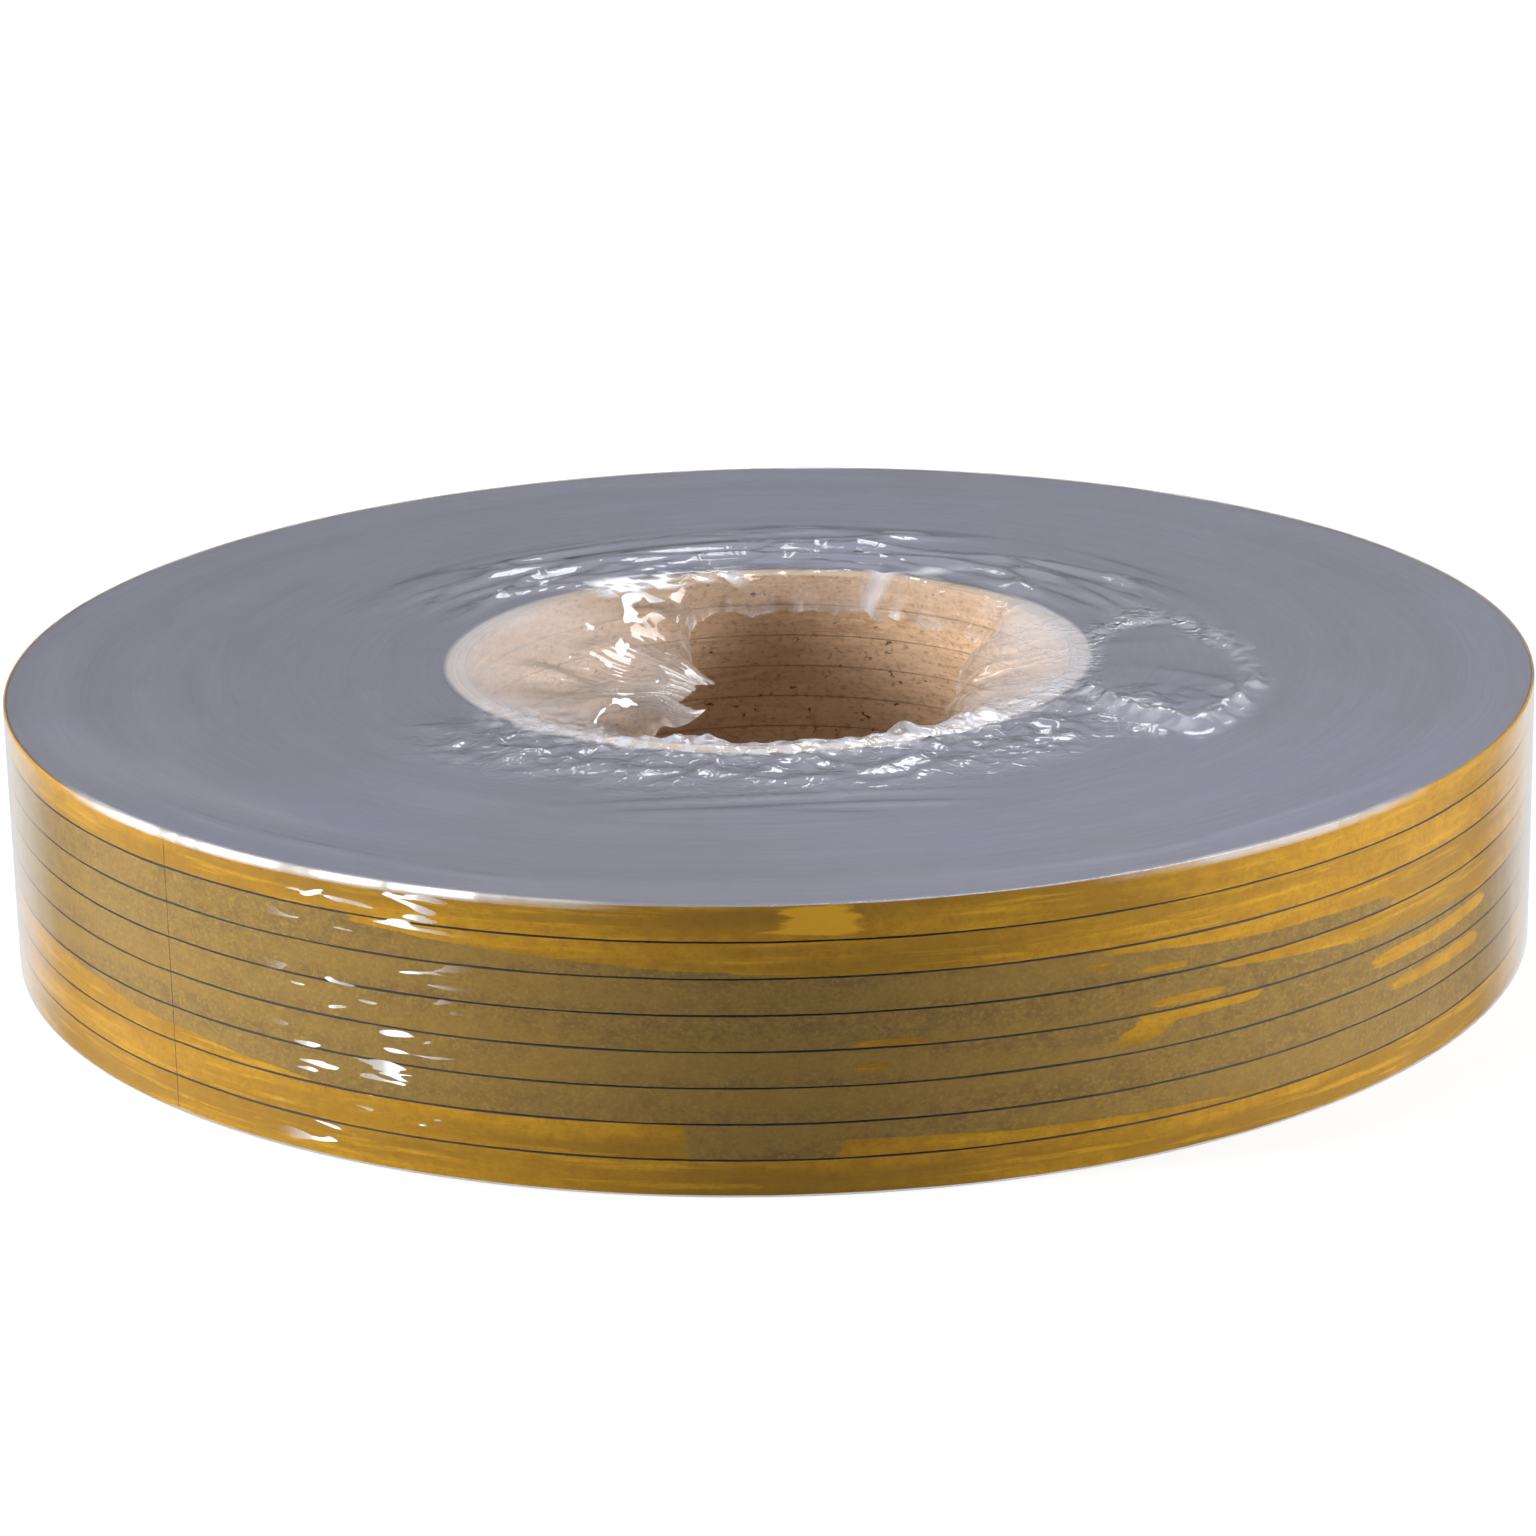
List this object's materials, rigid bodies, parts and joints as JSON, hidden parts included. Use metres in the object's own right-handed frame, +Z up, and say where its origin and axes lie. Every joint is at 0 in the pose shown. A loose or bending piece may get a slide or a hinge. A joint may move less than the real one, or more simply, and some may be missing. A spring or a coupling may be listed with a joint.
{
  "type": "copper foil tape roll",
  "caption": "Shrink-wrapped stack of narrow slit foil tape rolls on paper core rings, with yellow release liner outside; each roll turns on the common core axis.",
  "frame": {"origin": "on the rolls' common axis, in the plane the wrapped stack rests on", "axes": "+Z up along the core's axis; the strips' ends lie between -X and -Y"},
  "size_m": [0.1924, 0.1924, 0.0343],
  "materials": {
    "shrink_film": "gloss",
    "kraft_core": "matte",
    "tape_edge": "satin",
    "copper_foil": "satin",
    "release_liner": "satin"
  },
  "bodies": {
    "film_wrap": {"shrink_film": "shrink_film"},
    "roll_1": {"core_ring_1": "kraft_core", "wound_tape_1": "tape_edge", "foil_turn_1": "copper_foil", "liner_turn_1": "release_liner"},
    "roll_2": {"core_ring_2": "kraft_core", "wound_tape_2": "tape_edge", "foil_turn_2": "copper_foil", "liner_turn_2": "release_liner"},
    "roll_3": {"core_ring_3": "kraft_core", "wound_tape_3": "tape_edge", "foil_turn_3": "copper_foil", "liner_turn_3": "release_liner"},
    "roll_4": {"core_ring_4": "kraft_core", "wound_tape_4": "tape_edge", "foil_turn_4": "copper_foil", "liner_turn_4": "release_liner"},
    "roll_5": {"core_ring_5": "kraft_core", "wound_tape_5": "tape_edge", "foil_turn_5": "copper_foil", "liner_turn_5": "release_liner"},
    "roll_6": {"core_ring_6": "kraft_core", "wound_tape_6": "tape_edge", "foil_turn_6": "copper_foil", "liner_turn_6": "release_liner"},
    "roll_7": {"core_ring_7": "kraft_core", "wound_tape_7": "tape_edge", "foil_turn_7": "copper_foil", "liner_turn_7": "release_liner"},
    "roll_8": {"core_ring_8": "kraft_core", "wound_tape_8": "tape_edge", "foil_turn_8": "copper_foil", "liner_turn_8": "release_liner"}
  },
  "joints": [
    {"name": "roll_1_spin", "type": "hinge", "parent": "film_wrap", "child": "roll_1", "pos_m": [0, 0, 0.00228], "axis": [0, 0, 1], "continuous": true},
    {"name": "roll_2_spin", "type": "hinge", "parent": "film_wrap", "child": "roll_2", "pos_m": [0, 0, 0.00653], "axis": [0, 0, 1], "continuous": true},
    {"name": "roll_3_spin", "type": "hinge", "parent": "film_wrap", "child": "roll_3", "pos_m": [0, 0, 0.01077], "axis": [0, 0, 1], "continuous": true},
    {"name": "roll_4_spin", "type": "hinge", "parent": "film_wrap", "child": "roll_4", "pos_m": [0, 0, 0.01503], "axis": [0, 0, 1], "continuous": true},
    {"name": "roll_5_spin", "type": "hinge", "parent": "film_wrap", "child": "roll_5", "pos_m": [0, 0, 0.01928], "axis": [0, 0, 1], "continuous": true},
    {"name": "roll_6_spin", "type": "hinge", "parent": "film_wrap", "child": "roll_6", "pos_m": [0, 0, 0.02353], "axis": [0, 0, 1], "continuous": true},
    {"name": "roll_7_spin", "type": "hinge", "parent": "film_wrap", "child": "roll_7", "pos_m": [0, 0, 0.02778], "axis": [0, 0, 1], "continuous": true},
    {"name": "roll_8_spin", "type": "hinge", "parent": "film_wrap", "child": "roll_8", "pos_m": [0, 0, 0.03202], "axis": [0, 0, 1], "continuous": true}
  ]
}
